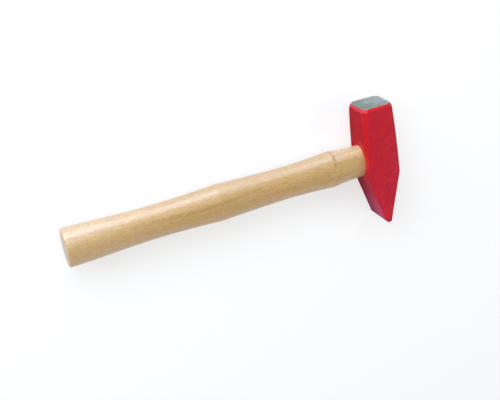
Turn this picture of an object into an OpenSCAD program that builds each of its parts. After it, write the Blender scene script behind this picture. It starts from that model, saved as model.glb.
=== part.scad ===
// Fitter's hammer lying on one cheek.
// The handle runs towards -X, the striking face looks to +Y and the upper cheek to +Z.
// The origin is on the lower cheek, under the crossing of the handle's axis and the head's axis.

/* [Head] */
// Length of the head, from the striking face to the edge of the peen
head_length = 132.5; // [125:0.5:145]
// Distance from the striking face to the handle's axis
face_reach = 60.5; // [56:0.5:62]
// Distance from the striking face to the knee, where the peen starts to taper
knee_reach = 77.5; // [77:0.5:90]
// Distance from the striking face at which the head reaches its full section
swell_reach = 45; // [30:0.5:55]
// Side of the square striking end
face_side = 36; // [33:0.1:37]
// Depth of the head at the eye, measured along the handle
body_depth = 37.5; // [37.2:0.1:42]
// Width of the head at the eye, from cheek to cheek
body_width = 37.8; // [37.2:0.1:42]
// Width of the peen at its edge
peen_width = 36.2; // [32:0.1:37]
// Thickness of the peen's rounded edge
peen_edge = 8.2; // [5:0.1:10]
// Set of the peen's edge away from the head's axis, towards the far side
peen_set = 0.9; // [0:0.1:2]
// Leg of the corner chamfers at the striking face
face_corner = 5; // [3.5:0.1:6.5]
// Leg of the corner chamfers at the knee
knee_corner = 1.8; // [1:0.1:2.6]
// Leg of the corner chamfers at the peen's edge
tip_corner = 1.2; // [0.6:0.1:2]
// How far the bevel steps in at the rim of the striking face
bevel_inset = 1.6; // [0.8:0.1:2.4]
// Height of the bevel round the striking face
bevel_height = 3; // [1.5:0.1:4.5]

/* [Eye] */
// Length of the eye at its waist, along the head
eye_length = 29.4; // [27:0.1:30]
// Breadth of the eye at its waist, from cheek to cheek
eye_breadth = 20.4; // [18:0.1:21]
// Widening of each side of the eye towards the handle
near_flare = 0.7; // [0.3:0.1:1]
// Widening of each side of the eye towards the wedges
far_flare = 1.5; // [0.8:0.1:1.8]
// Place of the eye's waist from the middle of the head, towards the handle
waist_shift = 4; // [0:0.5:8]
// Bevel round both mouths of the eye
mouth_bevel = 0.6; // [0.3:0.1:0.8]

/* [Handle] */
// Length of the handle, from its butt to the end of its tongue
handle_length = 361; // [345:1:380]
// How far the tongue stands out of the head's far side
tongue_proud = 0.8; // [0.2:0.1:2.5]
// Height of the handle at its butt
butt_height = 40.8; // [37:0.1:44]
// Height of the handle at the waist of the grip
grip_height = 34.9; // [31:0.1:37]
// Height of the handle at the ridge in front of the grip
ridge_height = 39.4; // [37.5:0.1:43]
// Height of the handle at the waist between its two ridges
shaft_height = 34.8; // [31:0.1:37]
// Height of the handle at the ridge behind the head
collar_height = 39.6; // [37.5:0.1:43]
// Height of the handle where it meets the head
neck_height = 34.9; // [33.2:0.1:37]
// Thickness of the handle for each millimetre of its height
oval_ratio = 0.72; // [0.715:0.005:0.85]
// Distance from the head to the place where the neck starts to swell
neck_run = 9; // [5:0.5:14]
// Distance from the head to the ridge behind it
collar_run = 36; // [30:0.5:46]
// Distance from the head to the waist between the ridges
shaft_run = 89; // [75:1:105]
// Distance from the head to the ridge in front of the grip
ridge_run = 162; // [145:1:175]
// Distance from the head to the waist of the grip
grip_run = 231; // [210:1:250]
// Radius round the rim of the butt
butt_rounding = 2; // [0.8:0.1:4]

/* [Wedges] */
// Thickness of the wooden wedge at its head
wedge_head = 4.4; // [3:0.1:5.5]
// Thickness of the wooden wedge at its tip
wedge_tip = 1; // [0.6:0.1:1.6]
// Length of the wooden wedge
wedge_length = 26; // [20:0.5:30]
// Outer diameter of the steel ring wedge at its head
ring_diameter = 13; // [10:0.1:15]
// Wall of the steel ring wedge at its head
ring_wall = 1.6; // [1:0.1:2.2]
// Length of the steel ring wedge
ring_length = 12; // [8:0.5:16]

/* [Fits] */
// Gap between the tongue and the eye
eye_gap = 0.1; // [0.05:0.05:0.3]
// Gap round each wedge in the wood
wedge_gap = 0.08; // [0.04:0.02:0.2]
// Depth of the kerf below the tip of the wooden wedge
kerf_spare = 2; // [0.5:0.5:3.5]

/* [Hidden] */

// Heights along the head, measured from the handle's axis
face_y = face_reach;
tip_y = face_reach - head_length;
knee_y = face_reach - knee_reach;

// Half sections of the head
face_half = face_side / 2;
depth_half = body_depth / 2;
width_half = body_width / 2;
edge_radius = peen_edge / 2;
edge_centre = [peen_set, tip_y + edge_radius];

// Stations of the handle along X
seat_x = -depth_half;
end_x = depth_half + tongue_proud;
butt_x = end_x - handle_length;
neck_x = seat_x - neck_run;
collar_x = seat_x - collar_run;
shaft_x = seat_x - shaft_run;
ridge_x = seat_x - ridge_run;
grip_x = seat_x - grip_run;

// Stations of the eye and the wedges along X
eye_waist_x = -waist_shift;
eye_offset = (eye_length - eye_breadth) / 2;
wedge_x = end_x - wedge_length;
kerf_x = wedge_x - kerf_spare;
ring_x = end_x - ring_length;

// Shape of the ring wedge's leading edge
ring_edge = 0.3;
ring_draw = 0.5;

// The curves between a waist and a ridge of the handle rise by these powers of the distance
grip_side_power = 1.9;
head_side_power = 1.4;
// Power of the handle's oval, a little squarer than an ellipse
oval_power = 2.15;

// Fineness of the curves
handle_sides = 40;
curve_steps = 10;
rounding_steps = 4;
edge_steps = 12;
round_facets = 96;
swell_facets = 1440;

// Reach of cutting shapes past the surfaces that they cut
over = 1;
// Reach of the peen's root into the body
root = 5;
reach = 2 * head_length;

// Radius of an arc that leaves a straight side at a tangent and drifts inwards by drift over run
function swell_radius(drift, run) = (pow(run, 2) + pow(drift, 2)) / (2 * drift);

// Distance from the head's axis to a corner chamfer, for half sections a and b and a chamfer leg
function corner_reach(a, b, leg) = (a + b - leg) / sqrt(2);

// Angle about the centre of the peen's edge at which a straight flank from a knee runs into the round
function touch_angle(knee, side) =
    let (run = edge_centre - knee)
    atan2(run[1], run[0]) + side * (asin(edge_radius / norm(run)) + 90);

// Half breadth of the eye at x, straight tapers on both sides of its waist
function eye_half(x) =
    x < eye_waist_x
        ? eye_breadth / 2 + near_flare * (eye_waist_x - x) / (eye_waist_x + depth_half)
        : eye_breadth / 2 + far_flare * (x - eye_waist_x) / (depth_half - eye_waist_x);

// Half height of the handle at x
function rise(low, high, share, power) = low + (high - low) * pow(share, power);
function handle_half(x) =
    x < grip_x ? rise(grip_height, butt_height, (1 + cos(180 * (x - butt_x) / (grip_x - butt_x))) / 2, 1) / 2
    : x < ridge_x ? rise(grip_height, ridge_height, (x - grip_x) / (ridge_x - grip_x), grip_side_power) / 2
    : x < shaft_x ? rise(shaft_height, ridge_height, (shaft_x - x) / (shaft_x - ridge_x), head_side_power) / 2
    : x < collar_x ? rise(shaft_height, collar_height, (x - shaft_x) / (collar_x - shaft_x), grip_side_power) / 2
    : x < neck_x ? rise(neck_height, collar_height, (neck_x - x) / (neck_x - collar_x), head_side_power) / 2
    : neck_height / 2;

// Rings of the handle, each as its place along X and how far it is drawn in by the rounding of the butt
function even_rings(from, to) = [for (i = [0 : curve_steps - 1]) [from + (to - from) * i / curve_steps, 0]];
butt_rings = [
    for (i = [0 : rounding_steps])
        let (turn = 90 * i / rounding_steps)
        [butt_x + butt_rounding * (1 - cos(turn)), butt_rounding * (1 - sin(turn))]
];
handle_rings = concat(
    butt_rings,
    even_rings(butt_x + 2 * butt_rounding, grip_x),
    even_rings(grip_x, ridge_x),
    even_rings(ridge_x, shaft_x),
    even_rings(shaft_x, collar_x),
    even_rings(collar_x, neck_x),
    [[neck_x, 0], [seat_x, 0]]
);

// Point of an oval at an angle, for a half height and a half thickness
function oval_part(value) = sign(value) * pow(abs(value), 2 / oval_power);
function oval_point(x, high, thick, angle) = [x, high * oval_part(cos(angle)), thick * oval_part(sin(angle))];

// Lifts the hammer from the handle's axis to its rest on the lower cheek
module rest_on_cheek() {
    translate([0, 0, width_half]) children();
}

// Everything to the left of a straight side at value, from the knee up to a height
module side_strip(value, top) {
    if (top > knee_y)
        translate([-reach, knee_y]) square([reach + value, top - knee_y]);
}

// Arc that leaves the straight side at full_value, to the left or the right of it
module swell_arc(full_value, side, radius, start_y) {
    translate([full_value + side * radius, start_y]) circle(r = radius, $fn = swell_facets);
}

// One side of the body above the knee: straight up to the start of the swell, then along an arc
// that draws in towards the face, or flares out where the face is wider than the body
module body_side(face_value, full_value, run) {
    drift = full_value - face_value;
    radius = drift == 0 ? reach : swell_radius(abs(drift), run);
    start_y = face_y - run;
    if (drift > 0)
        intersection() {
            side_strip(full_value, face_y);
            union() {
                side_strip(full_value, start_y);
                swell_arc(full_value, -1, radius, start_y);
            }
        }
    else
        difference() {
            side_strip(face_value, face_y);
            if (drift < 0) {
                swell_arc(full_value, 1, radius, start_y);
                translate([full_value, start_y - reach]) square(reach);
            }
        }
}

module body_outline(face_value, full_value, run) {
    intersection() {
        body_side(face_value, full_value, run);
        mirror([1, 0]) body_side(face_value, full_value, run);
    }
}

// Top of a peen outline: its knee on both sides, and a root that narrows into the body
function peen_root(knee_value) = [
    [-knee_value, knee_y],
    [root - knee_value, knee_y + root],
    [knee_value - root, knee_y + root],
    [knee_value, knee_y]
];

// Outline of the peen across the handle: two straight flanks that run into a round edge
module peen_side_outline() {
    far_touch = touch_angle([depth_half, knee_y], 1);
    near_touch = touch_angle([-depth_half, knee_y], -1);
    polygon(concat(
        peen_root(depth_half),
        [
            for (i = [0 : edge_steps])
                let (angle = far_touch + (near_touch - far_touch) * i / edge_steps)
                edge_centre + edge_radius * [cos(angle), sin(angle)]
        ]
    ));
}

// Outline of the peen from cheek to cheek, or across two opposite corners
module peen_outline(knee_value, tip_plus, tip_minus) {
    polygon(concat(
        peen_root(knee_value),
        [
            [tip_plus, edge_centre[1]],
            [tip_plus, tip_y],
            [-tip_minus, tip_y],
            [-tip_minus, edge_centre[1]]
        ]
    ));
}

// A lengthwise outline made solid, and turned about the head's axis
module along_head(turn) {
    rotate([0, turn, 0]) linear_extrude(height = reach, center = true) children();
}

// The body is what four outlines have in common: both flanks, both cheeks and two pairs of corners
module body_form() {
    corner_face = corner_reach(face_half, face_half, face_corner);
    corner_knee = corner_reach(depth_half, width_half, knee_corner);
    intersection() {
        along_head(0) body_outline(face_half, depth_half, swell_reach);
        along_head(90) body_outline(face_half, width_half, swell_reach);
        along_head(45) body_outline(corner_face, corner_knee, knee_reach);
        along_head(-45) body_outline(corner_face, corner_knee, knee_reach);
    }
}

// The peen is made in the same way, and meets the body at the knee
module peen_form() {
    corner_knee = corner_reach(depth_half, width_half, knee_corner);
    tip_half = peen_width / 2;
    far_tip = corner_reach(edge_radius + peen_set, tip_half, tip_corner);
    near_tip = corner_reach(edge_radius - peen_set, tip_half, tip_corner);
    intersection() {
        along_head(0) peen_side_outline();
        along_head(90) peen_outline(width_half, tip_half, tip_half);
        along_head(45) peen_outline(corner_knee, far_tip, near_tip);
        along_head(-45) peen_outline(corner_knee, far_tip, near_tip);
    }
}

// Bevel round the striking face, one cut for each side and each corner
module face_bevel() {
    tilt = atan(bevel_inset / bevel_height);
    for (turn = [0 : 45 : 315]) {
        side = turn % 90 == 0 ? face_half : corner_reach(face_half, face_half, face_corner);
        rotate([0, turn, 0])
            translate([side - bevel_inset, face_y, 0])
                rotate([0, 0, tilt])
                    translate([0, -face_side, -face_side])
                        cube(2 * face_side);
    }
}

// A stretch of the eye along X, from one half breadth to another: round ends joined by a straight slab
module eye_stretch(from, to, start, finish) {
    for (side = [-1, 1])
        translate([from, side * eye_offset, 0])
            rotate([0, 90, 0])
                cylinder(h = to - from, r1 = start, r2 = finish, $fn = round_facets);
    rotate([90, 0, 0])
        linear_extrude(height = 2 * eye_offset, center = true)
            polygon([[from, -start], [to, -finish], [to, finish], [from, start]]);
}

// The eye between two places along X, drawn in all round by gap
module eye_form(from, to, gap) {
    waist_half = eye_half(eye_waist_x) - gap;
    eye_stretch(from, eye_waist_x, eye_half(from) - gap, waist_half);
    eye_stretch(eye_waist_x, to, waist_half, eye_half(to) - gap);
}

// Bevels at 45 degrees round both mouths of the eye
module mouth_bevels() {
    start_x = depth_half - mouth_bevel;
    finish_x = depth_half + over;
    for (side = [-1, 1]) {
        start = eye_half(side * start_x);
        mirror([side < 0 ? 1 : 0, 0, 0])
            eye_stretch(start_x, finish_x, start, start + finish_x - start_x);
    }
}

// Cross-section of the wooden wedge, or of its kerf, drawn through the whole height of the tongue
module wedge_form(tip, end, gap) {
    slope = (wedge_head - wedge_tip) / 2 / wedge_length;
    tip_half = wedge_tip / 2 + gap + slope * (tip - wedge_x);
    end_half = wedge_head / 2 + gap + slope * (end - end_x);
    rotate([90, 0, 0])
        linear_extrude(height = head_length, center = true)
            polygon([[tip, -tip_half], [end, -end_half], [end, end_half], [tip, tip_half]]);
}

// Radius of one of the ring wedge's walls at x, from its radius at the ring's head and at its leading edge
function ring_radius(x, head_radius, edge_value) =
    edge_value + (head_radius - edge_value) * (x - ring_x) / ring_length;

// The ring wedge or its groove: a tube that thins towards its leading edge
module ring_form(past, gap) {
    outer = ring_diameter / 2;
    inner = outer - ring_wall;
    lead_inner = inner + ring_draw;
    lead_outer = lead_inner + ring_edge;
    low = ring_x - gap;
    high = end_x + past;
    rotate([0, 90, 0])
        rotate_extrude($fn = round_facets)
            polygon([
                [ring_radius(low, inner, lead_inner) - gap, low],
                [ring_radius(low, outer, lead_outer) + gap, low],
                [ring_radius(high, outer, lead_outer) + gap, high],
                [ring_radius(high, inner, lead_inner) - gap, high]
            ]);
}

// Grip and shaft of the handle, a chain of ovals from the butt to the seat on the head
module handle_loft() {
    count = len(handle_rings);
    points = [
        for (ring = handle_rings)
            let (high = handle_half(ring[0]) - ring[1], thick = handle_half(ring[0]) * oval_ratio - ring[1])
            for (i = [0 : handle_sides - 1])
                oval_point(ring[0], high, thick, 360 * i / handle_sides)
    ];
    function at(ring, side) = ring * handle_sides + side % handle_sides;
    walls = [
        for (ring = [0 : count - 2], side = [0 : handle_sides - 1])
            each [
                [at(ring, side), at(ring + 1, side + 1), at(ring, side + 1)],
                [at(ring, side), at(ring + 1, side), at(ring + 1, side + 1)]
            ]
    ];
    butt = [[for (side = [0 : handle_sides - 1]) at(0, side)]];
    seat = [[for (side = [handle_sides - 1 : -1 : 0]) at(count - 1, side)]];
    polyhedron(points = points, faces = concat(walls, butt, seat));
}

// Forged head: body and peen, with the bevel of the face and the eye cut out of them
module head() {
    color([0.72, 0.15, 0.19])
        rest_on_cheek()
            difference() {
                union() {
                    body_form();
                    peen_form();
                }
                face_bevel();
                eye_form(seat_x - over, depth_half + over, 0);
                mouth_bevels();
            }
}

// Handle with its tongue in the eye, sawn for the wooden wedge and cut by the ring
module handle() {
    color([0.86, 0.72, 0.53])
        rest_on_cheek()
            difference() {
                union() {
                    handle_loft();
                    eye_form(seat_x - over, end_x, eye_gap);
                }
                wedge_form(kerf_x, end_x + over, wedge_gap);
                ring_form(over, wedge_gap);
            }
}

// Wooden wedge, trimmed flush with the tongue
module wooden_wedge() {
    color([0.78, 0.62, 0.42])
        rest_on_cheek()
            difference() {
                intersection() {
                    eye_form(seat_x, end_x, eye_gap);
                    wedge_form(wedge_x, end_x + over, 0);
                }
                ring_form(over, wedge_gap);
            }
}

// Steel ring driven into the end grain across the wooden wedge
module ring_wedge() {
    color([0.6, 0.61, 0.63])
        rest_on_cheek()
            ring_form(0, 0);
}

head();
handle();
wooden_wedge();
ring_wedge();
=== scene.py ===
"""Looks of a fitter's hammer: lacquered forged head, coated beech handle, wedges, and its stage."""

import math

import bmesh
import bpy
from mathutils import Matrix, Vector


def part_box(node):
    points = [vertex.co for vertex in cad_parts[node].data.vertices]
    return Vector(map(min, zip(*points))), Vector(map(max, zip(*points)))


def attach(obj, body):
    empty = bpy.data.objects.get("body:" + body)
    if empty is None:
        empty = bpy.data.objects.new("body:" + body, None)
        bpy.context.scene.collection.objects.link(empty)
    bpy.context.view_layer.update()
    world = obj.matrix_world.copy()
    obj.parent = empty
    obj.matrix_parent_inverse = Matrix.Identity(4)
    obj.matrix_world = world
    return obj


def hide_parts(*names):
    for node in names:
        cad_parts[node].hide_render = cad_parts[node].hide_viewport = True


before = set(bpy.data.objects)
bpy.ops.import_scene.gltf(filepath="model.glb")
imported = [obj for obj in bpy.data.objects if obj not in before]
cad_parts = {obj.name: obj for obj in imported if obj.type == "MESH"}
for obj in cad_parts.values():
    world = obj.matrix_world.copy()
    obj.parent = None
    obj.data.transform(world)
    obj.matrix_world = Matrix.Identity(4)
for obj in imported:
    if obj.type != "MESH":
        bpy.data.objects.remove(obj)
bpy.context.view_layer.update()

bl_info = {
    "name": "Fitter's Hammer",
    "version": (1, 0, 0),
    "blender": (4, 5, 0),
    "location": "3D View > Sidebar > Hammer",
    "description": "Dresses the packed model of a fitter's hammer and sets its stage",
    "category": "Object",
}

MM = 0.001
BODY = "root"
# Points nearer to each other than this are one point
WELD = 0.001 * MM

# Places that the frame gives, in metres
HEAD_LOW, HEAD_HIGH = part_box("head")
HANDLE_LOW, HANDLE_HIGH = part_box("handle")
FACE_Y = HEAD_HIGH.y
SEAT_X = HEAD_LOW.x
AXIS_Z = (HEAD_LOW.z + HEAD_HIGH.z) / 2
BUTT_X = HANDLE_LOW.x
TONGUE_X = HANDLE_HIGH.x
HEAD_DEPTH = HEAD_HIGH.x - HEAD_LOW.x
# Crests of the ridges behind the head and in the middle
COLLAR_X = SEAT_X - 36 * MM
RIDGE_X = SEAT_X - 162 * MM
# Width and thickness of the handle where it leaves the head, in millimetres
NECK_Y = 34.9
NECK_Z = 25.1

# Names of the numbers that the head's faces carry for its finish, and for its painted highlights and
# reflection
RIM = "rim_gloss_and_highlight"
HIGHLIGHT = "painted_highlight"
SLOPE = "peen_slope"
# How far a face's normal points along an axis, which tells the head's kinds of faces apart
BEVEL_LEAN = (0.25, 0.9)
FLAT_LEAN = 0.8
CHAMFER_LEAN = 0.5
SLOPE_LEAN = 0.15
# Gloss and painted rim highlight, and painted highlight, of the lacquer on each kind
CHEEK_BEVEL = (0.14, 0.8)
SIDE_BEVEL = (0.55, 0.8)
CORNER_BEVEL = (0.42, 0.3)
CHAMFER = (0.0, 1.0)
FORGED_EDGE = (0.12, 0.12)

# Faces of the forging that turn less than this from each other are one face
FLAT_TURN = math.radians(0.3)
# Edges of the forging and of the ring that turn more than these are rounded, in this many steps
FORGED_TURN = math.radians(15)
RING_TURN = math.radians(60)
FORGED_STEPS = 3
RING_STEPS = 2
# Edges that turn more than these look crisp
HEAD_CRISP = math.radians(60)
HANDLE_CRISP = math.radians(11)
WEDGE_CRISP = math.radians(25)
# Two triangles of the handle become one face when their planes and corners turn less than these
QUAD_TURN = math.radians(12)
QUAD_SKEW = math.radians(50)

# Stretches of the painted highlight and reflections, in millimetres along the head from the handle's
# axis
CHAMFER_RUN = (-16.0, 10.0)
SLOPE_RUN = (-66.0, -32.0)
MOUTH_RUN = (-12.0, 4.0)
# The same up from the lower cheek, off the middle height, up from it, and in from the handle's side
VIOLET_HEIGHTS = (2.0, 32.0)
CHAMFER_HEIGHTS = (14.5, 17.0)
MOUTH_HEIGHTS = (0.0, 7.0)
MOUTH_DEPTHS = (1, 4)
# Reach of the handle's painted reflection round the eye's mouth, as a share of the neck's
MOUTH_REACH = (1.02, 1.6)
# Millimetres along the head that give as much painted light and crimson as the head's whole depth does
CRIMSON_RUN = 120
# Depths behind the striking face between which the lacquer begins, and how far its edge wavers
LACQUER_END = (0.3, 0.5)
LACQUER_WAVER = 0.5
# In metres: depths of the forging's unevenness, and of the lacquer's orange peel and the grinding marks
FORGING_DEPTH = 0.16 * MM
PEEL_DEPTH = 0.014 * MM

# In millimetres from here on: edge of the sapwood and painted sheen across the handle, and how far it
# wavers
SAPWOOD_SHEEN_EDGE = (9.5, 16.5)
SAPWOOD_SHEEN_WAVER = 3
# Distances from the butt between which its painted light ends, and from the collar's crest for the
# neck's
BUTT_LIGHT_RUN = (25, 125)
NECK_LIGHT_RUN = (0, 8)
# Yearly rings that the wood drifts through along the handle
RING_DRIFT = 3.0
# Length over which the olive streak bends aside by 1 mm, how far it wavers, and the halves and soft
# edges of its width and of its length
VEIN_BEND = 35
VEIN_WAVER = 3
VEIN_WIDTH = (1.7, 1.5)
VEIN_LENGTH = (55.0, 25.0)
# The cutter's mark and the scorch beside it: place past the crest, half width and soft edge, and waver
MARK_BAND = (-1.1, 0.75, 0.45)
MARK_WAVER = 2.4
SCORCH_BAND = (-0.3, 2.0, 1.6)
SCORCH_WAVER = 2.0
# The stretch across the handle over which both grow stronger
MARK_RUN = (1.0, 7.0)
# Depths in the butt's rounding and in the tongue's end between which the end grain turns to long grain
BUTT_CUT = (0.6, 0.9)
TONGUE_CUT = (0.1, 0.3)
# In metres: depths of the wood's fibres, of the cutter's mark and of the ring's turning marks
FIBRE_DEPTH = 0.03 * MM
MARK_DEPTH = 0.12 * MM
TURNING_DEPTH = 0.01 * MM

# The point that the lamps look at
MIDDLE = Vector((-0.12, 0.0, 0.02))
COOL = (0.90, 1.0, 1.10)
WARM = (1.08, 1.0, 0.92)
# Bearing, distance, width and height in metres, power in watts, and colour
LAMPS = {
    "wide_panel": ((-0.34, 0.83, 0.44), 1.6, 2.5, 1.5, 30.0, COOL),
    "side_panel": ((0.26, 0.86, 0.44), 1.6, 1.2, 1.5, 2.6, COOL),
    "key": ((-0.43, 0.78, 0.45), 1.5, 0.6, 0.6, 3.3, COOL),
    "low_fill": ((0.0, -0.95, 0.32), 1.5, 2.4, 1.0, 6.3, WARM),
    "overhead": ((-0.25, 0.25, 0.93), 1.5, 0.8, 0.8, 5.0, WARM),
    "far_fill": ((0.85, -0.2, 0.5), 1.5, 0.8, 0.8, 4.0, WARM),
    "spark": ((-0.84, 0.44, 0.26), 1.5, 0.2, 0.2, 2.0, COOL),
}
# Width of the camera's sensor in millimetres, and the nearest and farthest that it sees, in metres
SENSOR = 36.0
SIGHT = (0.01, 100.0)
# How far the floor lies below the hammer, so that the two don't share a plane
FLOOR_DROP = 0.1 * MM

# Sockets of a Mix node for colours, by number, because those for numbers and vectors share their names
MIX_SHARE, MIX_ONE, MIX_OTHER = 0, 6, 7
MIX_RESULT = 2


class Wire:
    """A socket of a material's node tree. Arithmetic on it adds Math nodes."""

    def __init__(self, tree, socket=None):
        self.tree = tree
        self.socket = socket

    def node(self, kind, settings=None, values=None, output=0):
        """Adds a node of any kind, with its settings first and then its sockets' values or links."""
        made = self.tree.nodes.new(kind)
        for name, value in (settings or {}).items():
            setattr(made, name, value)
        for name, value in (values or {}).items():
            if isinstance(value, Wire):
                self.tree.links.new(value.socket, made.inputs[name])
            else:
                made.inputs[name].default_value = value
        return Wire(self.tree, made.outputs[output] if len(made.outputs) else None)

    def math(self, operation, *values):
        """Adds a Math node."""
        return self.node("ShaderNodeMath", {"operation": operation}, dict(enumerate(values)))

    def vector(self, operation, *values, output=0):
        """Adds a Vector Math node. A lone number for Scale goes to its own socket."""
        sockets = dict(enumerate(values))
        if operation == "SCALE":
            sockets = {0: values[0], "Scale": values[1]}
        return self.node("ShaderNodeVectorMath", {"operation": operation}, sockets, output)

    def __add__(self, other):
        return self.math("ADD", self, other)

    def __radd__(self, other):
        return self.math("ADD", other, self)

    def __sub__(self, other):
        return self.math("SUBTRACT", self, other)

    def __rsub__(self, other):
        return self.math("SUBTRACT", other, self)

    def __mul__(self, other):
        return self.math("MULTIPLY", self, other)

    def __rmul__(self, other):
        return self.math("MULTIPLY", other, self)

    def __truediv__(self, other):
        return self.math("DIVIDE", self, other)

    def size(self):
        """Its distance from nought."""
        return self.math("ABSOLUTE", self)

    def larger(self, other):
        """The larger of this number and another."""
        return self.math("MAXIMUM", self, other)

    def step(self, low, high, least=0.0):
        """Rises softly from least, at low and below it, to 1, at high and above it."""
        settings = {"interpolation_type": "SMOOTHSTEP"}
        values = {"Value": self, "From Min": low, "From Max": high, "To Min": least, "To Max": 1.0}
        return self.node("ShaderNodeMapRange", settings, values)

    def band(self, centre, half, soft):
        """1 within half of centre, and 0 beyond it past a soft edge."""
        return 1 - (self - centre).size().step(half - soft, half + soft)

    def parts(self):
        """The three numbers of a vector."""
        split = self.node("ShaderNodeSeparateXYZ", values={0: self})
        made = split.socket.node
        return [Wire(self.tree, socket) for socket in made.outputs]

    def mix(self, one, other):
        """Blends two colours, with this socket as the share of the second."""
        values = {MIX_SHARE: self, MIX_ONE: one, MIX_OTHER: other}
        return self.node("ShaderNodeMix", {"data_type": "RGBA"}, values, MIX_RESULT)

    def away_from(self, x, y, z):
        """This place counted from a point."""
        return self.vector("SUBTRACT", self, (x, y, z))

    def stretch(self, x, y, z):
        """This place with each direction multiplied by a number."""
        return self.vector("MULTIPLY", self, (x, y, z))

    def length(self):
        """The length of this vector."""
        return self.vector("LENGTH", self, output="Value")

    def noise(self, size, detail=3.0, rough=0.5, warp=0.0):
        """Noise between 0 and 1 at this place, with grains about size long."""
        values = {"Vector": self, "Scale": 1 / size, "Detail": detail}
        values.update({"Roughness": rough, "Distortion": warp})
        return self.node("ShaderNodeTexNoise", values=values)

    def grain(self, along, across, detail=2.0, rough=0.5, warp=0.0):
        """Noise with so many grains to a millimetre along the handle and across it."""
        return self.stretch(along, across, across).noise(1.0, detail, rough, warp)


def rgb(red, green, blue):
    """An opaque colour."""
    return (red, green, blue, 1.0)


def new_material(name):
    """An empty material, and a Wire to start its nodes from."""
    material = bpy.data.materials.new(name)
    material.use_nodes = True
    material.node_tree.nodes.clear()
    return material, Wire(material.node_tree)


def object_place(tree):
    """The place on the piece in millimetres."""
    place = tree.node("ShaderNodeTexCoord", output="Object")
    return tree.vector("SCALE", place, 1 / MM)


def attribute(tree, name):
    """A number that the piece's mesh holds for each of its faces."""
    return tree.node("ShaderNodeAttribute", {"attribute_name": name}, output="Fac")


def layered(colour, layers):
    """A colour under layers, each of them a mask, the share that it covers there and its own colour."""
    for mask, share, over in layers:
        colour = (mask * share).mix(colour, over)
    return colour


def bump(tree, height, depth, below=None):
    """A Bump node for a height between 0 and 1 that stands for a real depth, on top of another bump."""
    values = {"Height": height, "Distance": depth, "Strength": 1.0}
    if below is not None:
        values["Normal"] = below
    return tree.node("ShaderNodeBump", values=values)


def finish_surface(tree, values):
    """Ends a material in one Principled shader."""
    shader = tree.node("ShaderNodeBsdfPrincipled", values=values)
    tree.node("ShaderNodeOutputMaterial", values={"Surface": shader})


def lacquered_steel(settings):
    """Red lacquer on forged steel, ground bare on the striking face."""
    material, tree = new_material("lacquered_steel")
    place = object_place(tree)
    x, y, z = place.parts()
    across = x * (MM / HEAD_DEPTH)
    off_middle = z - AXIS_Z / MM
    rim = attribute(tree, RIM)

    # The lacquer is uneven in the small; painted light makes it more crimson away from the handle and by
    # the peen
    cloud = place.noise(13.0, 4.0, 0.6)
    mottle = place.noise(3.4, 5.0, 0.7)
    crimson = (across - y / CRIMSON_RUN + cloud - 0.5).step(-0.6, 1.0)

    # The long chamfers, bevels and edges carry a painted highlight, strongest by the cheeks and less on
    # the peen
    highlight = attribute(tree, HIGHLIGHT)
    highlight = highlight * off_middle.size().step(*CHAMFER_HEIGHTS, least=0.3) * y.step(*CHAMFER_RUN, least=0.2)

    # The peen's slope carries a painted violet reflection, in painted shade by the lower cheek, stronger
    # by the tip
    violet = z.step(*VIOLET_HEIGHTS).mix(settings.violet_reflection_shaded, settings.violet_reflection)
    slope = attribute(tree, SLOPE) * (1 - y.step(*SLOPE_RUN) * 0.7)

    # Beside the eye's mouth, on the upper cheek's side, lies a painted reflection of the handle
    from_axis = place.away_from(0.0, 0.0, AXIS_Z / MM).stretch(0, 2 / NECK_Y, 2 / NECK_Z)
    on_side = 1 - (x - SEAT_X / MM).step(*MOUTH_DEPTHS)
    mouth = (1 - from_axis.length().step(*MOUTH_REACH)) * on_side
    mouth = mouth * off_middle.step(*MOUTH_HEIGHTS, least=0.05) * y.step(*MOUTH_RUN, least=0.3)

    lacquer = layered(crimson.mix(settings.lacquer, settings.lacquer_crimson_lit), (
        (cloud.step(0.34, 0.66), 0.55, settings.lacquer_deep),
        (mottle.step(0.30, 0.70), 0.65, settings.lacquer_deep),
        # Painted highlights on the chamfers, bevels and edges
        (highlight, 1.0, settings.lacquer_highlight),
        (rim, 0.8, settings.rim_highlight),
        # The slope's painted violet reflection
        (slope, 1.0, violet),
        # Painted reflection of the handle beside the eye's mouth
        (mouth, 0.95, settings.handle_reflection),
    ))

    # Grinding marks run across the face, with a duller and greener patch at the handle's side
    waver = place.stretch(1, 0, 1).noise(5.0, 2.0) * LACQUER_WAVER
    bare = 1 - (FACE_Y / MM - y + waver).step(*LACQUER_END)
    strokes = place.stretch(0.05, 1, 1).noise(1.3, 4.0, 0.6)
    patches = place.stretch(0.5, 1, 1).noise(6.0, 3.0)
    ground = layered(strokes.step(0.37, 0.63).mix(settings.steel_dark, settings.steel), (
        ((patches - across * 0.5).step(0.4, 0.66), 0.85, settings.steel_stain),
    ))

    orange_peel = place.noise(1.6, 2.0)
    forging = place.noise(11.0, 2.0)
    relief = bump(tree, forging, FORGING_DEPTH)
    relief = bump(tree, bare.mix(orange_peel, strokes), PEEL_DEPTH, relief)

    speck = place.noise(2.5, 4.0, 0.7)
    gloss = settings.lacquer_roughness + speck.step(0.5, 0.8) * settings.speck_roughness
    blunt = settings.steel_roughness + strokes * settings.stroke_roughness
    finish_surface(tree, {
        "Base Color": bare.mix(lacquer, ground),
        "Metallic": bare,
        "Roughness": gloss + bare * (blunt - gloss),
        "Specular IOR Level": 0.0,
        "Coat Weight": rim.larger(settings.lacquer_gloss) * (1 - bare),
        "Coat Roughness": settings.coat_roughness,
        "Normal": relief,
    })
    return material


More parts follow.
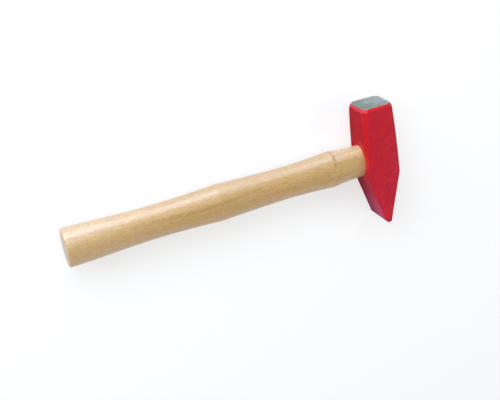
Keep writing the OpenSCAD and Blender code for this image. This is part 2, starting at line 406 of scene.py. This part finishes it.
def coated_beech(settings, name, shade=0.0):
    """Pale hardwood with long grain, rings on its ends and a satin clear coat, darkened by a share."""
    material, tree = new_material(name)
    place = object_place(tree)
    x, y, _ = place.parts()

    # Yearly rings are wide arcs about a pith well outside the handle
    drift = place.grain(0.012, 0.06) * RING_DRIFT
    radius = place.away_from(0.0, *settings.pith).stretch(0, 1, 1).length()
    turns = radius / settings.ring_width + drift
    ring = turns.math("FRACT", turns)
    late = ring.step(0.35, 0.95) * (1 - ring.step(0.95, 1.0))

    # Soft streaks, flecks, fine fibres, patches and short rays
    streak = place.grain(0.035, 0.35, 4.0, 0.6, 0.6)
    fleck = place.grain(0.16, 0.85, 3.0, 0.6)
    fibre = place.grain(0.16, 1.8, 4.0, 0.65)
    blush = place.grain(0.07, 0.3)
    mottle = place.grain(0.3, 0.55, 3.0, 0.6)
    rays = place.grain(0.22, 1.1, 1.0).step(0.60, 0.70)

    # Sapwood and painted sheen lie on the striking face's side, golden wood on the other; ends are
    # painted lighter
    sapwood_and_sheen = (y + streak * SAPWOOD_SHEEN_WAVER).step(*SAPWOOD_SHEEN_EDGE)
    butt_light = 1 - (x - BUTT_X / MM).step(*BUTT_LIGHT_RUN)
    neck_light = (x - COLLAR_X / MM).step(*NECK_LIGHT_RUN)

    # An olive streak bends along the grip
    bend = (x - settings.vein_x) / VEIN_BEND
    beside = y - (bend * bend + settings.vein_y) + (streak - 0.5) * VEIN_WAVER
    vein = beside.band(0.0, *VEIN_WIDTH) * x.band(settings.vein_x, *VEIN_LENGTH) * fleck.step(0.35, 0.52)

    # The cutter left a burnt mark on the ridge behind the head
    past_crest = x - (COLLAR_X + settings.crest_shift) / MM
    chatter = place.stretch(0, 1, 1).noise(2.6, 2.0, 0.6)
    dots = place.stretch(0.3, 1, 1).noise(2.1, 1.0)
    strength = y.step(*MARK_RUN, least=0.4)
    mark = (past_crest - chatter * MARK_WAVER).band(*MARK_BAND) * dots.step(0.46, 0.62) * strength
    scorch = (past_crest - chatter * SCORCH_WAVER).band(*SCORCH_BAND)
    scorch = scorch * dots.step(0.30, 0.62, least=0.4) * strength

    # The pale side is partly sapwood and partly painted sheen; the butt and neck are painted lighter
    wood = layered(sapwood_and_sheen.mix(settings.wood, settings.wood_light), (
        # Painted light on the butt and on the neck
        (butt_light, 0.95, settings.wood_pale),
        (butt_light * sapwood_and_sheen, 0.78, settings.wood_butt_highlight),
        (neck_light * sapwood_and_sheen, 0.95, settings.wood_neck_light),
        (streak.step(0.42, 0.74), 0.3, settings.wood_late),
        (late, 0.14, settings.wood_late),
        (fleck.step(0.5, 0.60), 0.42, settings.wood_late),
        (1 - fleck.step(0.36, 0.47), 0.5, settings.wood_pale),
        (fibre.step(0.45, 0.72), 0.4, settings.wood_late),
        (blush.step(0.46, 0.64), 0.55, settings.wood_blush),
        (mottle.step(0.42, 0.68), 0.4, settings.wood_pale),
        (rays, 0.36, settings.wood_ray),
        (vein, 0.6, settings.wood_vein),
        (scorch, 0.62, settings.wood_scorch),
        (mark, 0.9, settings.wood_burn),
    ))

    # Both ends show the rings as arcs, and have less of the clear coat
    end = 1 - (x - BUTT_X / MM).step(*BUTT_CUT)
    end = end.larger(1 - (TONGUE_X / MM - x).step(*TONGUE_CUT))
    pores = place.noise(0.55, 3.0, 0.7).step(0.4, 0.75)
    cut = (late * 0.6 + pores * 0.4).mix(settings.end_light, settings.end_dark)
    wood = end.mix(wood, cut)
    if shade:
        values = {MIX_SHARE: shade, MIX_ONE: wood, MIX_OTHER: settings.wood_shade}
        wood = tree.node("ShaderNodeMix", {"data_type": "RGBA"}, values, MIX_RESULT)

    relief = bump(tree, fibre + rays * 0.4 + late * 0.2, FIBRE_DEPTH)
    relief = bump(tree, 1 - mark, MARK_DEPTH, relief)
    finish_surface(tree, {
        "Base Color": wood,
        "Roughness": settings.wood_roughness + fibre * settings.fibre_roughness,
        "Coat Weight": 1 - end * 0.7,
        "Coat Roughness": settings.coat_roughness,
        "Coat IOR": settings.coat_ior,
        "Normal": relief,
    })
    return material


def turned_steel(settings):
    """Bright steel of the ring wedge, with fine turning marks round it."""
    material, tree = new_material("turned_steel")
    place = object_place(tree)
    radius = place.away_from(0.0, 0.0, AXIS_Z / MM).stretch(0, 1, 1).length()
    marks = tree.node("ShaderNodeCombineXYZ", values={0: radius}).noise(0.12, 2.0)
    stain = place.noise(2.4, 3.0)
    finish_surface(tree, {
        "Base Color": stain.step(0.4, 0.75).mix(settings.ring_bright, settings.ring_dull),
        "Metallic": 1.0,
        "Roughness": settings.ring_roughness + stain * settings.stain_roughness,
        "Normal": bump(tree, marks, TURNING_DEPTH),
    })
    return material


def merged_copy(node):
    """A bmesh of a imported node, with its loose triangles joined at their points."""
    shape = bmesh.new()
    shape.from_mesh(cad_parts[node].data)
    bmesh.ops.remove_doubles(shape, verts=shape.verts, dist=WELD)
    return shape


def sharp_edges(shape, turn):
    """The edges whose two faces turn more than an angle from each other."""
    return [edge for edge in shape.edges if edge.is_manifold and edge.calc_face_angle() > turn]


def round_off(shape, turn, width, steps):
    """Rounds the edges that turn more than an angle, and gives the new faces."""
    rounded = bmesh.ops.bevel(
        shape, geom=sharp_edges(shape, turn), offset=width, offset_type="OFFSET", segments=steps,
        profile=0.5, affect="EDGES", clamp_overlap=True, material=-1)
    return rounded["faces"]


def lies_at(vert, x):
    """Whether a point of the handle lies in the cross-section at x."""
    return abs(vert.co.x - x) < WELD


def forged_finish(normal):
    """Gloss and painted rim highlight, painted highlight, and 1 for the peen's slope, for a face of the
    forging.
    """
    if BEVEL_LEAN[0] < normal.y < BEVEL_LEAN[1]:
        if abs(normal.z) > FLAT_LEAN:
            return (*CHEEK_BEVEL, 0.0)
        if abs(normal.x) > FLAT_LEAN:
            return (*SIDE_BEVEL, 0.0)
        return (*CORNER_BEVEL, 0.0)
    if normal.x < -CHAMFER_LEAN and abs(normal.z) > CHAMFER_LEAN:
        return (*CHAMFER, 0.0)
    # The peen's slope takes a painted reflection
    on_slope = normal.x < -CHAMFER_LEAN and normal.y < -SLOPE_LEAN
    return (0.0, 0.0, float(on_slope))


def make_piece(shape, name, material, node, crisp):
    """Turns a bmesh into a smooth-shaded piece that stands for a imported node."""
    for face in shape.faces:
        face.smooth = True
    for edge in sharp_edges(shape, crisp):
        edge.smooth = False
    mesh = bpy.data.meshes.new(name)
    shape.to_mesh(mesh)
    shape.free()
    mesh.materials.clear()
    mesh.materials.append(material)
    piece = bpy.data.objects.new(name, mesh)
    bpy.context.scene.collection.objects.link(piece)
    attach(piece, BODY)
    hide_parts(node)
    return piece


class HeadSettings(bpy.types.PropertyGroup):
    """Sizes and colours of the head's finish."""

    edge_round: bpy.props.FloatProperty(
        name="Edge rounding", description="Width of the rounding on the forged edges",
        default=0.6 * MM, min=0, max=1.5 * MM, unit="LENGTH")
    lacquer: bpy.props.FloatVectorProperty(
        name="Lacquer", description="Colour of the lacquer on the flats",
        default=rgb(0.61, 0.024, 0.031), size=4, subtype="COLOR", min=0, max=1)
    lacquer_deep: bpy.props.FloatVectorProperty(
        name="Deep lacquer", description="Colour of the lacquer where it lies thicker",
        default=rgb(0.44, 0.018, 0.037), size=4, subtype="COLOR", min=0, max=1)
    # Lighter crimson, painted where more light falls, away from the handle and by the peen
    lacquer_crimson_lit: bpy.props.FloatVectorProperty(
        name="Lit crimson lacquer", description="Colour of the lacquer, with painted light, away from the handle and by the peen",
        default=rgb(0.68, 0.040, 0.071), size=4, subtype="COLOR", min=0, max=1)
    # Painted highlight colour on the chamfers, bevels and edges
    lacquer_highlight: bpy.props.FloatVectorProperty(
        name="Painted highlight", description="Colour painted on chamfers and bevels as their highlight",
        default=rgb(0.58, 0.016, 0.016), size=4, subtype="COLOR", min=0, max=1)
    # Painted highlight colour on the bevels round the striking face and on the rounded edges
    rim_highlight: bpy.props.FloatVectorProperty(
        name="Rim highlight", description="Colour painted on the bevels round the striking face as their highlight",
        default=rgb(0.80, 0.021, 0.044), size=4, subtype="COLOR", min=0, max=1)
    # Painted reflection on the slope that faces the handle, and its painted shade by the lower cheek
    violet_reflection: bpy.props.FloatVectorProperty(
        name="Violet reflection",
        description="Colour of the painted reflection on the peen's slope that faces the handle",
        default=rgb(0.72, 0.107, 0.222), size=4, subtype="COLOR", min=0, max=1)
    violet_reflection_shaded: bpy.props.FloatVectorProperty(
        name="Shaded violet reflection", description="Colour of that reflection in painted shade by the lower cheek",
        default=rgb(0.36, 0.050, 0.105), size=4, subtype="COLOR", min=0, max=1)
    # Painted reflection of the handle beside the eye's mouth
    handle_reflection: bpy.props.FloatVectorProperty(
        name="Handle reflection", description="Colour of the handle's painted reflection beside the eye's mouth",
        default=rgb(0.74, 0.090, 0.060), size=4, subtype="COLOR", min=0, max=1)
    lacquer_roughness: bpy.props.FloatProperty(
        name="Lacquer roughness", description="Roughness of the lacquer",
        default=0.28, min=0, max=1, subtype="FACTOR")
    speck_roughness: bpy.props.FloatProperty(
        name="Speck roughness", description="How much rougher the lacquer is in its small specks",
        default=0.06, min=0, max=0.5, subtype="FACTOR")
    lacquer_gloss: bpy.props.FloatProperty(
        name="Lacquer gloss", description="Weight of the gloss on the flats",
        default=0.05, min=0, max=1, subtype="FACTOR")
    coat_roughness: bpy.props.FloatProperty(
        name="Gloss roughness", description="Roughness of the gloss",
        default=0.12, min=0, max=1, subtype="FACTOR")
    steel: bpy.props.FloatVectorProperty(
        name="Steel", description="Colour of the ground face",
        default=rgb(0.41, 0.47, 0.47), size=4, subtype="COLOR", min=0, max=1)
    steel_dark: bpy.props.FloatVectorProperty(
        name="Dark steel", description="Colour in the grinding marks",
        default=rgb(0.22, 0.26, 0.26), size=4, subtype="COLOR", min=0, max=1)
    steel_stain: bpy.props.FloatVectorProperty(
        name="Stained steel", description="Colour of the duller patch on the face",
        default=rgb(0.21, 0.26, 0.225), size=4, subtype="COLOR", min=0, max=1)
    steel_roughness: bpy.props.FloatProperty(
        name="Steel roughness", description="Roughness of the ground face",
        default=0.34, min=0, max=1, subtype="FACTOR")
    stroke_roughness: bpy.props.FloatProperty(
        name="Stroke roughness", description="How much rougher the steel is between its grinding marks",
        default=0.16, min=0, max=0.5, subtype="FACTOR")


class HandleSettings(bpy.types.PropertyGroup):
    """Sizes and colours of the wood's finish."""

    extra_sides: bpy.props.IntProperty(
        name="Extra sides", description="New points between two points round the handle",
        default=2, min=0, max=4)
    crest_shift: bpy.props.FloatProperty(
        name="Crest shift",
        description="How far the dressed ridge's crest lies nearer the head than the solid's",
        default=1.9 * MM, min=0, max=2.5 * MM, unit="LENGTH")
    # Pale wood and painted sheen on the striking face's side
    wood_light: bpy.props.FloatVectorProperty(
        name="Sapwood and sheen", description="Colour of the pale wood and painted sheen on the striking face's side",
        default=rgb(0.625, 0.408, 0.235), size=4, subtype="COLOR", min=0, max=1)
    wood: bpy.props.FloatVectorProperty(
        name="Golden wood", description="Colour of the wood on the peen's side",
        default=rgb(0.590, 0.350, 0.088), size=4, subtype="COLOR", min=0, max=1)
    wood_late: bpy.props.FloatVectorProperty(
        name="Late wood", description="Colour of the darker streaks, flecks and fibres",
        default=rgb(0.42, 0.245, 0.085), size=4, subtype="COLOR", min=0, max=1)
    wood_blush: bpy.props.FloatVectorProperty(
        name="Blush", description="Colour of the pinkish patches",
        default=rgb(0.63, 0.350, 0.190), size=4, subtype="COLOR", min=0, max=1)
    # Also painted over the butt as light
    wood_pale: bpy.props.FloatVectorProperty(
        name="Pale wood", description="Colour of the pale spots, and of the painted light on the butt's golden side",
        default=rgb(0.68, 0.450, 0.190), size=4, subtype="COLOR", min=0, max=1)
    # Painted light on the neck's sapwood side
    wood_neck_light: bpy.props.FloatVectorProperty(
        name="Neck light", description="Colour of the painted light on the neck's sapwood side",
        default=rgb(0.82, 0.645, 0.43), size=4, subtype="COLOR", min=0, max=1)
    # Painted highlight on the butt's sapwood side
    wood_butt_highlight: bpy.props.FloatVectorProperty(
        name="Butt highlight", description="Colour of the painted highlight on the butt's sapwood side",
        default=rgb(0.745, 0.565, 0.44), size=4, subtype="COLOR", min=0, max=1)
    wood_ray: bpy.props.FloatVectorProperty(
        name="Rays", description="Colour of the short dark rays",
        default=rgb(0.38, 0.21, 0.09), size=4, subtype="COLOR", min=0, max=1)
    wood_vein: bpy.props.FloatVectorProperty(
        name="Vein", description="Colour of the olive streak along the grip",
        default=rgb(0.39, 0.205, 0.055), size=4, subtype="COLOR", min=0, max=1)
    wood_scorch: bpy.props.FloatVectorProperty(
        name="Scorch", description="Colour of the warm tint beside the cutter's mark",
        default=rgb(0.60, 0.29, 0.10), size=4, subtype="COLOR", min=0, max=1)
    wood_burn: bpy.props.FloatVectorProperty(
        name="Burn", description="Colour of the cutter's mark",
        default=rgb(0.36, 0.15, 0.06), size=4, subtype="COLOR", min=0, max=1)
    end_light: bpy.props.FloatVectorProperty(
        name="Light end grain", description="Colour of the end grain",
        default=rgb(0.75, 0.55, 0.38), size=4, subtype="COLOR", min=0, max=1)
    end_dark: bpy.props.FloatVectorProperty(
        name="Dark end grain", description="Colour of the rings in the end grain",
        default=rgb(0.54, 0.36, 0.21), size=4, subtype="COLOR", min=0, max=1)
    wood_shade: bpy.props.FloatVectorProperty(
        name="Wedge shade", description="Colour that the wedge's wood is darkened with",
        default=rgb(0.22, 0.11, 0.05), size=4, subtype="COLOR", min=0, max=1)
    ring_width: bpy.props.FloatProperty(
        name="Ring width", description="Width of a yearly ring in millimetres",
        default=3.1, min=0.5, max=10)
    vein_x: bpy.props.FloatProperty(
        name="Vein middle",
        description="Place of the olive streak's middle along the handle in millimetres",
        default=-205.0, min=BUTT_X / MM, max=SEAT_X / MM)
    vein_y: bpy.props.FloatProperty(
        name="Vein place", description="Place of the olive streak across the handle in millimetres",
        default=3.4, min=-20, max=20)
    pith: bpy.props.FloatVectorProperty(
        name="Pith", description="Place of the tree's pith across the handle, in millimetres",
        default=(46.0, -38.0), size=2)
    wood_roughness: bpy.props.FloatProperty(
        name="Wood roughness", description="Roughness of the wood under its clear coat",
        default=0.42, min=0, max=1, subtype="FACTOR")
    fibre_roughness: bpy.props.FloatProperty(
        name="Fibre roughness", description="How much rougher the darker fibres are",
        default=0.2, min=0, max=0.5, subtype="FACTOR")
    coat_roughness: bpy.props.FloatProperty(
        name="Coat roughness", description="Roughness of the clear coat",
        default=0.33, min=0, max=1, subtype="FACTOR")
    coat_ior: bpy.props.FloatProperty(
        name="Coat IOR", description="Index of refraction of the clear coat",
        default=1.85, min=1, max=3)


class WedgeSettings(bpy.types.PropertyGroup):
    """Sizes and colours of the wedges' finish."""

    wedge_shade: bpy.props.FloatProperty(
        name="Wedge shade", description="How much darker the wooden wedge is than the handle",
        default=0.5, min=0, max=1, subtype="FACTOR")
    ring_bright: bpy.props.FloatVectorProperty(
        name="Bright ring", description="Colour of the ring wedge",
        default=rgb(0.62, 0.63, 0.65), size=4, subtype="COLOR", min=0, max=1)
    ring_dull: bpy.props.FloatVectorProperty(
        name="Dull ring", description="Colour of the ring wedge's duller patches",
        default=rgb(0.40, 0.39, 0.38), size=4, subtype="COLOR", min=0, max=1)
    ring_roughness: bpy.props.FloatProperty(
        name="Ring roughness", description="Roughness of the ring wedge",
        default=0.25, min=0, max=1, subtype="FACTOR")
    stain_roughness: bpy.props.FloatProperty(
        name="Stain roughness", description="How much rougher the ring wedge's duller patches are",
        default=0.15, min=0, max=0.5, subtype="FACTOR")
    rim_round: bpy.props.FloatProperty(
        name="Rim rounding", description="Width of the rounding on the ring's rims",
        default=0.08 * MM, min=0, max=0.3 * MM, unit="LENGTH")


class StageSettings(bpy.types.PropertyGroup):
    """Camera, lamps, floor and surroundings."""

    camera_place: bpy.props.FloatVectorProperty(
        name="Camera place", description="Where the camera stands",
        default=(-0.438007, 0.407397, 0.897149), size=3, subtype="TRANSLATION", unit="LENGTH")
    camera_turn: bpy.props.FloatVectorProperty(
        name="Camera turn", description="How the camera is turned",
        default=[math.radians(turn) for turn in (-21.1177, -21.7994, -8.7983)],
        size=3, subtype="EULER", unit="ROTATION")
    camera_lens: bpy.props.FloatProperty(
        name="Lens", description="Focal length in millimetres for the sensor's width",
        default=71.007, min=20, max=200)
    floor_side: bpy.props.FloatProperty(
        name="Floor side", description="Side of the square floor",
        default=12.0, min=2, max=50, unit="LENGTH")
    floor_colour: bpy.props.FloatVectorProperty(
        name="Floor colour", description="Colour of the floor",
        default=rgb(0.48, 0.48, 0.48), size=4, subtype="COLOR", min=0, max=1)
    floor_lift: bpy.props.FloatProperty(
        name="Floor lift", description="How much paler the floor shows than its light makes it",
        default=0.56, min=0, max=1, subtype="FACTOR")
    sky_colour: bpy.props.FloatVectorProperty(
        name="Sky colour", description="Colour of the light from all round",
        default=rgb(0.80, 0.90, 1.0), size=4, subtype="COLOR", min=0, max=1)
    sky_strength: bpy.props.FloatProperty(
        name="Sky strength", description="Strength of the light from all round",
        default=0.18, min=0, max=2)


def make_lamp(name, bearing, distance, width, height, power, colour):
    """A rectangular soft lamp at a bearing and a distance from the hammer's middle, which it lights."""
    data = bpy.data.lights.new(name, "AREA")
    data.shape = "RECTANGLE"
    data.size = width
    data.size_y = height
    data.energy = power
    data.color = colour
    lamp = bpy.data.objects.new(name, data)
    away = Vector(bearing).normalized()
    lamp.location = MIDDLE + away * distance
    lamp.rotation_euler = away.to_track_quat("Z", "Y").to_euler()
    lamp.visible_camera = False
    bpy.context.scene.collection.objects.link(lamp)


def make_camera(settings):
    """The camera at the photograph's viewing angle."""
    data = bpy.data.cameras.new("camera")
    data.sensor_width = SENSOR
    data.lens = settings.camera_lens
    data.clip_start, data.clip_end = SIGHT
    camera = bpy.data.objects.new("camera", data)
    camera.location = settings.camera_place
    camera.rotation_euler = settings.camera_turn
    bpy.context.scene.collection.objects.link(camera)
    bpy.context.scene.camera = camera


def seen_directly(tree):
    """1 for rays from the camera and for what gloss and glass show, else 0."""
    path = tree.node("ShaderNodeLightPath").socket.node
    camera, glossy, through = (
        Wire(tree.tree, path.outputs[name])
        for name in ("Is Camera Ray", "Is Glossy Ray", "Is Transmission Ray")
    )
    return camera.larger(glossy).larger(through)


def make_world(settings):
    """Plain surroundings that add a little light from all round."""
    world = bpy.data.worlds.new("studio")
    world.use_nodes = True
    world.node_tree.nodes.clear()
    tree = Wire(world.node_tree)
    values = {"Color": settings.sky_colour, "Strength": settings.sky_strength}
    light = tree.node("ShaderNodeBackground", values=values)
    tree.node("ShaderNodeOutputWorld", values={"Surface": light})
    bpy.context.scene.world = world


def make_floor(settings):
    """A plain pale floor that keeps the hammer's shadow."""
    shape = bmesh.new()
    bmesh.ops.create_grid(shape, x_segments=1, y_segments=1, size=settings.floor_side / 2)
    bmesh.ops.translate(shape, vec=(0, 0, -FLOOR_DROP), verts=shape.verts)
    mesh = bpy.data.meshes.new("floor")
    shape.to_mesh(mesh)
    shape.free()
    material, tree = new_material("pale_floor")
    matt = tree.node("ShaderNodeBsdfDiffuse", values={"Color": settings.floor_colour})
    lift = seen_directly(tree) * settings.floor_lift
    glow = tree.node("ShaderNodeEmission", values={"Color": rgb(1.0, 1.0, 1.0), "Strength": lift})
    both = tree.node("ShaderNodeAddShader", values={0: matt, 1: glow})
    tree.node("ShaderNodeOutputMaterial", values={"Surface": both})
    mesh.materials.append(material)
    floor = bpy.data.objects.new("floor", mesh)
    bpy.context.scene.collection.objects.link(floor)


class HAMMER_OT_head(bpy.types.Operator):
    """Rounds the edges of the forged head and lacquers it"""

    bl_idname = "hammer.head"
    bl_label = "Lacquered Head"

    def execute(self, context):
        settings = context.scene.hammer_head
        shape = merged_copy("head")
        bmesh.ops.dissolve_limit(shape, angle_limit=FLAT_TURN, verts=shape.verts, edges=shape.edges)
        rim = shape.faces.layers.float.new(RIM)
        highlight = shape.faces.layers.float.new(HIGHLIGHT)
        slope = shape.faces.layers.float.new(SLOPE)
        # Each face gets its gloss, its painted highlights and whether it takes the slope's painted
        # reflection
        for face in shape.faces:
            face[rim], face[highlight], face[slope] = forged_finish(face.normal)
        # The rounded edges get a little gloss and a painted highlight
        for face in round_off(shape, FORGED_TURN, settings.edge_round, FORGED_STEPS):
            face[rim] = max(face[rim], FORGED_EDGE[0])
            face[highlight] = max(face[highlight], FORGED_EDGE[1])
        make_piece(shape, "forged_head", lacquered_steel(settings), "head", HEAD_CRISP)
        return {"FINISHED"}


class HAMMER_OT_handle(bpy.types.Operator):
    """Smooths the handle, moves its collar's crest and coats it"""

    bl_idname = "hammer.handle"
    bl_label = "Coated Handle"

    def execute(self, context):
        settings = context.scene.hammer_handle
        shape = merged_copy("handle")
        outside_head = [face for face in shape.faces if face.calc_center_median().x < SEAT_X - WELD]
        bmesh.ops.join_triangles(
            shape, faces=outside_head, angle_face_threshold=QUAD_TURN, angle_shape_threshold=QUAD_SKEW)

        # New points round each oval keep its place along the handle, which the smoothing would move
        oval_edges = [
            edge for edge in shape.edges
            if edge.verts[0].co.x < SEAT_X + WELD and lies_at(edge.verts[1], edge.verts[0].co.x)
        ]
        place = shape.verts.layers.float.new("place")
        for vert in shape.verts:
            vert[place] = vert.co.x
        bmesh.ops.subdivide_edges(
            shape, edges=oval_edges, cuts=settings.extra_sides, smooth=1.0, smooth_falloff="LINEAR",
            use_grid_fill=True)
        for vert in shape.verts:
            vert.co.x = vert[place]
        shape.verts.layers.float.remove(place)

        for crest_x in (COLLAR_X, RIDGE_X):
            for edge in shape.edges:
                if all(lies_at(vert, crest_x) for vert in edge.verts):
                    edge.smooth = False
        for vert in shape.verts:
            if lies_at(vert, COLLAR_X):
                vert.co.x += settings.crest_shift
        wood = coated_beech(settings, "coated_beech")
        make_piece(shape, "beech_handle", wood, "handle", HANDLE_CRISP)
        return {"FINISHED"}


class HAMMER_OT_wedges(bpy.types.Operator):
    """Finishes the wooden wedge and the steel ring in the tongue"""

    bl_idname = "hammer.wedges"
    bl_label = "Wedges"

    def execute(self, context):
        settings = context.scene.hammer_wedges
        wood = coated_beech(context.scene.hammer_handle, "wedge_beech", settings.wedge_shade)
        wedge = merged_copy("wooden_wedge")
        make_piece(wedge, "beech_wedge", wood, "wooden_wedge", WEDGE_CRISP)
        ring = merged_copy("ring_wedge")
        round_off(ring, RING_TURN, settings.rim_round, RING_STEPS)
        make_piece(ring, "steel_ring", turned_steel(settings), "ring_wedge", WEDGE_CRISP)
        return {"FINISHED"}


class HAMMER_OT_stage(bpy.types.Operator):
    """Sets the camera, the lamps, the floor and the surroundings"""

    bl_idname = "hammer.stage"
    bl_label = "Stage"

    def execute(self, context):
        settings = context.scene.hammer_stage
        context.scene.view_settings.view_transform = "Standard"
        make_camera(settings)
        make_world(settings)
        make_floor(settings)
        for name, lamp in LAMPS.items():
            make_lamp(name, *lamp)
        return {"FINISHED"}


class HAMMER_PT_panel(bpy.types.Panel):
    """Lists the pieces of the hammer"""

    bl_idname = "HAMMER_PT_panel"
    bl_label = "Fitter's Hammer"
    bl_space_type = "VIEW_3D"
    bl_region_type = "UI"
    bl_category = "Hammer"

    def draw(self, context):
        for operator in OPERATORS:
            self.layout.operator(operator.bl_idname)


SETTINGS = {
    "hammer_head": HeadSettings,
    "hammer_handle": HandleSettings,
    "hammer_wedges": WedgeSettings,
    "hammer_stage": StageSettings,
}
OPERATORS = (HAMMER_OT_head, HAMMER_OT_handle, HAMMER_OT_wedges, HAMMER_OT_stage)
CLASSES = (*SETTINGS.values(), *OPERATORS, HAMMER_PT_panel)


def register():
    for kind in CLASSES:
        bpy.utils.register_class(kind)
    for name, kind in SETTINGS.items():
        setattr(bpy.types.Scene, name, bpy.props.PointerProperty(type=kind))


def unregister():
    for name in SETTINGS:
        delattr(bpy.types.Scene, name)
    for kind in reversed(CLASSES):
        bpy.utils.unregister_class(kind)


def main():
    register()
    bpy.ops.hammer.head()
    bpy.ops.hammer.handle()
    bpy.ops.hammer.wedges()
    bpy.ops.hammer.stage()


if __name__ == "__main__":
    main()
